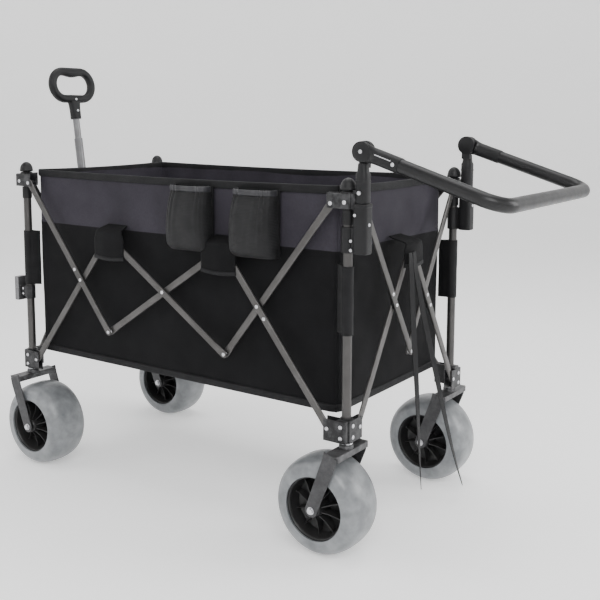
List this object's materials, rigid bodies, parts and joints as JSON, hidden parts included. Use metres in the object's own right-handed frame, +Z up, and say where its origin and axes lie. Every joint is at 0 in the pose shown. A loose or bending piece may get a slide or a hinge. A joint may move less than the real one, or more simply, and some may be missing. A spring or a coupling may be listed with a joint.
{
  "type": "folding camp wagon",
  "caption": "Folding wagon with a fabric tub on scissor struts and telescoping corner posts, balloon-tyred swivel casters, plug-in push bar and folding pull handle.",
  "frame": {"origin": "ground level under the middle of the whole wagon's box", "axes": "+X toward the push-bar end, +Y toward the far long side, +Z up"},
  "size_m": [1.3832, 0.59, 1.0037],
  "materials": {
    "tyre": "mottled grey PVC",
    "rim": "moulded black plastic",
    "strut_steel": "satin dark grey enamel",
    "frame_steel": "satin black powder coat",
    "black_plastic": "moulded black plastic",
    "fork_steel": "satin black powder coat",
    "fabric": "woven polyester, dark grey band over black",
    "mat_fabric": "padded woven polyester",
    "pocket_mesh": "black mesh with shiny bound hem",
    "webbing": "black webbing",
    "bright_steel": "zinc plated",
    "bar_black": "black satin powder coat",
    "handle_steel": "satin grey paint",
    "grip_plastic": "moulded black plastic"
  },
  "bodies": {
    "post_near_rear": {"post_near_rear": "frame_steel", "near_socket": "black_plastic", "near_wall": "fabric", "rear_wall": "fabric", "rear_straps": "webbing", "cup_pockets": "pocket_mesh"},
    "post_near_front": {"post_near_front": "frame_steel", "post_clip": "black_plastic", "front_wall": "fabric"},
    "post_far_rear": {"post_far_rear": "frame_steel", "far_socket": "black_plastic", "far_wall": "fabric"},
    "post_far_front": {"post_far_front": "frame_steel"},
    "near_strut_1": {"near_strut_1": "strut_steel"},
    "near_strut_2": {"near_strut_2": "strut_steel"},
    "near_strut_3": {"near_strut_3": "strut_steel"},
    "near_strut_4": {"near_strut_4": "strut_steel"},
    "near_strut_5": {"near_strut_5": "strut_steel"},
    "near_strut_6": {"near_strut_6": "strut_steel"},
    "far_strut_1": {"far_strut_1": "strut_steel"},
    "far_strut_2": {"far_strut_2": "strut_steel"},
    "far_strut_3": {"far_strut_3": "strut_steel"},
    "far_strut_4": {"far_strut_4": "strut_steel"},
    "far_strut_5": {"far_strut_5": "strut_steel"},
    "far_strut_6": {"far_strut_6": "strut_steel"},
    "rear_strut_1": {"rear_strut_1": "strut_steel"},
    "rear_strut_2": {"rear_strut_2": "strut_steel"},
    "rear_strut_3": {"rear_strut_3": "strut_steel"},
    "rear_strut_4": {"rear_strut_4": "strut_steel"},
    "front_strut_1": {"front_strut_1": "strut_steel"},
    "front_strut_2": {"front_strut_2": "strut_steel"},
    "front_strut_3": {"front_strut_3": "strut_steel"},
    "front_strut_4": {"front_strut_4": "strut_steel"},
    "head_near_rear": {"head_near_rear": "frame_steel"},
    "head_near_front": {"head_near_front": "frame_steel"},
    "head_far_rear": {"head_far_rear": "frame_steel"},
    "head_far_front": {"head_far_front": "frame_steel"},
    "near_mat": {"near_mat": "mat_fabric"},
    "far_mat": {"far_mat": "mat_fabric"},
    "fork_near_rear": {"fork_near_rear": "fork_steel"},
    "wheel_near_rear": {"tyre_near_rear": "tyre", "rim_near_rear": "rim"},
    "fork_far_rear": {"fork_far_rear": "fork_steel"},
    "wheel_far_rear": {"tyre_far_rear": "tyre", "rim_far_rear": "rim"},
    "fork_near_front": {"fork_near_front": "fork_steel"},
    "wheel_near_front": {"tyre_near_front": "tyre", "rim_near_front": "rim"},
    "fork_far_front": {"fork_far_front": "fork_steel"},
    "wheel_far_front": {"tyre_far_front": "tyre", "rim_far_front": "rim"},
    "near_stem": {"near_stem": "black_plastic"},
    "far_stem": {"far_stem": "black_plastic"},
    "push_bar": {"push_bar": "bar_black"},
    "near_button": {"near_button": "bright_steel"},
    "far_button": {"far_button": "bright_steel"},
    "handle_bracket": {"handle_bracket": "black_plastic"},
    "handle_tube": {"handle_tube": "handle_steel"},
    "handle_grip": {"handle_grip": "grip_plastic"}
  },
  "joints": [
    {"name": "fold", "type": "hinge", "parent": "post_near_rear", "child": "rear_strut_1", "pos_m": [0.3613, -0.205, 0.262], "axis": [1, 0, 0], "range_deg": [0, 23.3], "deforming": ["near_wall", "far_wall", "rear_wall", "front_wall", "near_mat", "far_mat", "rear_straps", "cup_pockets"]},
    {"name": "rear_cross_12", "type": "hinge", "parent": "rear_strut_1", "child": "rear_strut_2", "pos_m": [0.3613, -0.069, 0.486], "axis": [1, 0, 0], "range_deg": [-46.65, 0]},
    {"name": "rear_low", "type": "hinge", "parent": "rear_strut_2", "child": "rear_strut_3", "pos_m": [0.3613, 0, 0.37235], "axis": [1, 0, 0], "range_deg": [0, 46.65]},
    {"name": "rear_cross_34", "type": "hinge", "parent": "rear_strut_3", "child": "rear_strut_4", "pos_m": [0.3613, 0.069, 0.486], "axis": [1, 0, 0], "range_deg": [-46.65, 0]},
    {"name": "rear_far_foot", "type": "hinge", "parent": "rear_strut_4", "child": "post_far_rear", "pos_m": [0.3613, 0.205, 0.262], "axis": [1, 0, 0], "range_deg": [0, 23.35]},
    {"name": "near_rear_foot", "type": "hinge", "parent": "post_near_rear", "child": "near_strut_5", "pos_m": [0.3293, -0.232, 0.262], "axis": [0, 1, 0], "range_deg": [0, 14.82]},
    {"name": "near_cross_56", "type": "hinge", "parent": "near_strut_5", "child": "near_strut_6", "pos_m": [0.15288, -0.232, 0.486], "axis": [0, 1, 0], "range_deg": [-29.59, 0]},
    {"name": "near_rear_head", "type": "hinge", "parent": "near_strut_6", "child": "head_near_rear", "pos_m": [0.3293, -0.232, 0.71], "axis": [0, 1, 0], "range_deg": [0, 14.82]},
    {"name": "near_low_rear", "type": "hinge", "parent": "near_strut_6", "child": "near_strut_3", "pos_m": [0.0623, -0.232, 0.371], "axis": [0, 1, 0], "range_deg": [0, 21.67]},
    {"name": "near_cross_34", "type": "hinge", "parent": "near_strut_3", "child": "near_strut_4", "pos_m": [-0.1127, -0.232, 0.486], "axis": [0, 1, 0], "range_deg": [-13.75, 0]},
    {"name": "near_low_front", "type": "hinge", "parent": "near_strut_4", "child": "near_strut_1", "pos_m": [-0.2877, -0.232, 0.371], "axis": [0, 1, 0], "range_deg": [0, 21.67]},
    {"name": "near_front_head", "type": "hinge", "parent": "near_strut_1", "child": "head_near_front", "pos_m": [-0.5547, -0.232, 0.71], "axis": [0, 1, 0], "range_deg": [-14.82, 0]},
    {"name": "near_cross_12", "type": "hinge", "parent": "near_strut_1", "child": "near_strut_2", "pos_m": [-0.37827, -0.232, 0.486], "axis": [0, 1, 0], "range_deg": [-29.59, 0]},
    {"name": "near_front_foot", "type": "hinge", "parent": "near_strut_2", "child": "post_near_front", "pos_m": [-0.5547, -0.232, 0.262], "axis": [0, 1, 0], "range_deg": [0, 14.82]},
    {"name": "far_rear_foot", "type": "hinge", "parent": "post_far_rear", "child": "far_strut_5", "pos_m": [0.3293, 0.232, 0.262], "axis": [0, 1, 0], "range_deg": [0, 14.82]},
    {"name": "far_cross_56", "type": "hinge", "parent": "far_strut_5", "child": "far_strut_6", "pos_m": [0.15288, 0.232, 0.486], "axis": [0, 1, 0], "range_deg": [-29.59, 0]},
    {"name": "far_rear_head", "type": "hinge", "parent": "far_strut_6", "child": "head_far_rear", "pos_m": [0.3293, 0.232, 0.71], "axis": [0, 1, 0], "range_deg": [0, 14.82]},
    {"name": "far_low_rear", "type": "hinge", "parent": "far_strut_6", "child": "far_strut_3", "pos_m": [0.0623, 0.232, 0.371], "axis": [0, 1, 0], "range_deg": [0, 21.67]},
    {"name": "far_cross_34", "type": "hinge", "parent": "far_strut_3", "child": "far_strut_4", "pos_m": [-0.1127, 0.232, 0.486], "axis": [0, 1, 0], "range_deg": [-13.75, 0]},
    {"name": "far_low_front", "type": "hinge", "parent": "far_strut_4", "child": "far_strut_1", "pos_m": [-0.2877, 0.232, 0.371], "axis": [0, 1, 0], "range_deg": [0, 21.67]},
    {"name": "far_front_head", "type": "hinge", "parent": "far_strut_1", "child": "head_far_front", "pos_m": [-0.5547, 0.232, 0.71], "axis": [0, 1, 0], "range_deg": [-14.82, 0]},
    {"name": "far_cross_12", "type": "hinge", "parent": "far_strut_1", "child": "far_strut_2", "pos_m": [-0.37827, 0.232, 0.486], "axis": [0, 1, 0], "range_deg": [-29.59, 0]},
    {"name": "far_front_foot", "type": "hinge", "parent": "far_strut_2", "child": "post_far_front", "pos_m": [-0.5547, 0.232, 0.262], "axis": [0, 1, 0], "range_deg": [0, 14.82]},
    {"name": "front_1_low", "type": "hinge", "parent": "post_near_front", "child": "front_strut_1", "pos_m": [-0.5867, -0.205, 0.262], "axis": [1, 0, 0], "range_deg": [0, 23.35]},
    {"name": "front_cross_12", "type": "hinge", "parent": "front_strut_1", "child": "front_strut_2", "pos_m": [-0.5867, -0.069, 0.486], "axis": [1, 0, 0], "range_deg": [-46.65, 0]},
    {"name": "front_low", "type": "hinge", "parent": "front_strut_2", "child": "front_strut_3", "pos_m": [-0.5867, 0, 0.37235], "axis": [1, 0, 0], "range_deg": [0, 46.65]},
    {"name": "front_cross_34", "type": "hinge", "parent": "front_strut_3", "child": "front_strut_4", "pos_m": [-0.5867, 0.069, 0.486], "axis": [1, 0, 0], "range_deg": [-46.65, 0]},
    {"name": "near_mat_fold", "type": "hinge", "parent": "post_near_rear", "child": "near_mat", "pos_m": [-0.1127, -0.222, 0.288], "axis": [1, 0, 0], "range_deg": [0, 69.05]},
    {"name": "far_mat_fold", "type": "hinge", "parent": "post_far_rear", "child": "far_mat", "pos_m": [-0.1127, 0.222, 0.288], "axis": [1, 0, 0], "range_deg": [-69.05, 0]},
    {"name": "swivel_near_rear", "type": "hinge", "parent": "post_near_rear", "child": "fork_near_rear", "pos_m": [0.3613, -0.232, 0.225], "axis": [0, 0, 1], "continuous": true},
    {"name": "spin_near_rear", "type": "hinge", "parent": "fork_near_rear", "child": "wheel_near_rear", "pos_m": [0.3163, -0.232, 0.1015], "axis": [0, 1, 0], "continuous": true},
    {"name": "swivel_far_rear", "type": "hinge", "parent": "post_far_rear", "child": "fork_far_rear", "pos_m": [0.3613, 0.232, 0.225], "axis": [0, 0, 1], "continuous": true},
    {"name": "spin_far_rear", "type": "hinge", "parent": "fork_far_rear", "child": "wheel_far_rear", "pos_m": [0.3163, 0.232, 0.1015], "axis": [0, 1, 0], "continuous": true},
    {"name": "swivel_near_front", "type": "hinge", "parent": "post_near_front", "child": "fork_near_front", "pos_m": [-0.5867, -0.232, 0.225], "axis": [0, 0, 1], "continuous": true},
    {"name": "spin_near_front", "type": "hinge", "parent": "fork_near_front", "child": "wheel_near_front", "pos_m": [-0.5417, -0.232, 0.1015], "axis": [0, 1, 0], "continuous": true},
    {"name": "swivel_far_front", "type": "hinge", "parent": "post_far_front", "child": "fork_far_front", "pos_m": [-0.5867, 0.232, 0.225], "axis": [0, 0, 1], "continuous": true},
    {"name": "spin_far_front", "type": "hinge", "parent": "fork_far_front", "child": "wheel_far_front", "pos_m": [-0.5417, 0.232, 0.1015], "axis": [0, 1, 0], "continuous": true},
    {"name": "stem_lift", "type": "slide", "parent": "post_near_rear", "child": "near_stem", "axis": [0, 0, 1], "range_m": [0, 0.07]},
    {"name": "far_stem_lift", "type": "slide", "parent": "post_far_rear", "child": "far_stem", "axis": [0, 0, 1], "range_m": [0, 0.0701]},
    {"name": "bar_tilt", "type": "hinge", "parent": "near_stem", "child": "push_bar", "pos_m": [0.3943, -0.232, 0.811], "axis": [0, 1, 0], "range_deg": [-107, 20]},
    {"name": "near_button_press", "type": "slide", "parent": "near_stem", "child": "near_button", "axis": [0, 1, 0], "range_m": [0, 0.003], "stiffness_N_per_m": 300},
    {"name": "far_button_press", "type": "slide", "parent": "far_stem", "child": "far_button", "axis": [0, -1, 0], "range_m": [0, 0.003], "stiffness_N_per_m": 300},
    {"name": "bracket_level", "type": "hinge", "parent": "front_strut_1", "child": "handle_bracket", "pos_m": [-0.5867, 0, 0.59965], "axis": [1, 0, 0], "range_deg": [-23.35, 0]},
    {"name": "handle_swing", "type": "hinge", "parent": "handle_bracket", "child": "handle_tube", "pos_m": [-0.6307, 0, 0.614], "axis": [0, -1, 0], "range_deg": [0, 95]},
    {"name": "handle_extend", "type": "slide", "parent": "handle_tube", "child": "handle_grip", "axis": [-0.1305, 0, 0.9914], "range_m": [0, 0.12]}
  ],
  "couplings": [
    {"joint": "rear_cross_12", "follows": "fold", "ratio": -2},
    {"joint": "rear_low", "follows": "fold", "ratio": 2},
    {"joint": "rear_cross_34", "follows": "fold", "ratio": -2},
    {"joint": "rear_far_foot", "follows": "fold", "ratio": 1},
    {"joint": "near_rear_foot", "follows": "fold", "ratio": 0.634},
    {"joint": "near_cross_56", "follows": "fold", "ratio": -1.268},
    {"joint": "near_rear_head", "follows": "fold", "ratio": 0.634},
    {"joint": "near_low_rear", "follows": "fold", "ratio": 0.928},
    {"joint": "near_cross_34", "follows": "fold", "ratio": -0.588},
    {"joint": "near_low_front", "follows": "fold", "ratio": 0.928},
    {"joint": "near_front_head", "follows": "fold", "ratio": -0.634},
    {"joint": "near_cross_12", "follows": "fold", "ratio": -1.268},
    {"joint": "near_front_foot", "follows": "fold", "ratio": 0.634},
    {"joint": "far_rear_foot", "follows": "fold", "ratio": 0.634},
    {"joint": "far_cross_56", "follows": "fold", "ratio": -1.268},
    {"joint": "far_rear_head", "follows": "fold", "ratio": 0.634},
    {"joint": "far_low_rear", "follows": "fold", "ratio": 0.928},
    {"joint": "far_cross_34", "follows": "fold", "ratio": -0.588},
    {"joint": "far_low_front", "follows": "fold", "ratio": 0.928},
    {"joint": "far_front_head", "follows": "fold", "ratio": -0.634},
    {"joint": "far_cross_12", "follows": "fold", "ratio": -1.268},
    {"joint": "far_front_foot", "follows": "fold", "ratio": 0.634},
    {"joint": "front_1_low", "follows": "fold", "ratio": 1},
    {"joint": "front_cross_12", "follows": "fold", "ratio": -2},
    {"joint": "front_low", "follows": "fold", "ratio": 2},
    {"joint": "front_cross_34", "follows": "fold", "ratio": -2},
    {"joint": "near_mat_fold", "follows": "fold", "ratio": 2.9614},
    {"joint": "far_mat_fold", "follows": "fold", "ratio": -2.9614},
    {"joint": "far_stem_lift", "follows": "stem_lift", "ratio": 1},
    {"joint": "bracket_level", "follows": "fold", "ratio": -1}
  ]
}
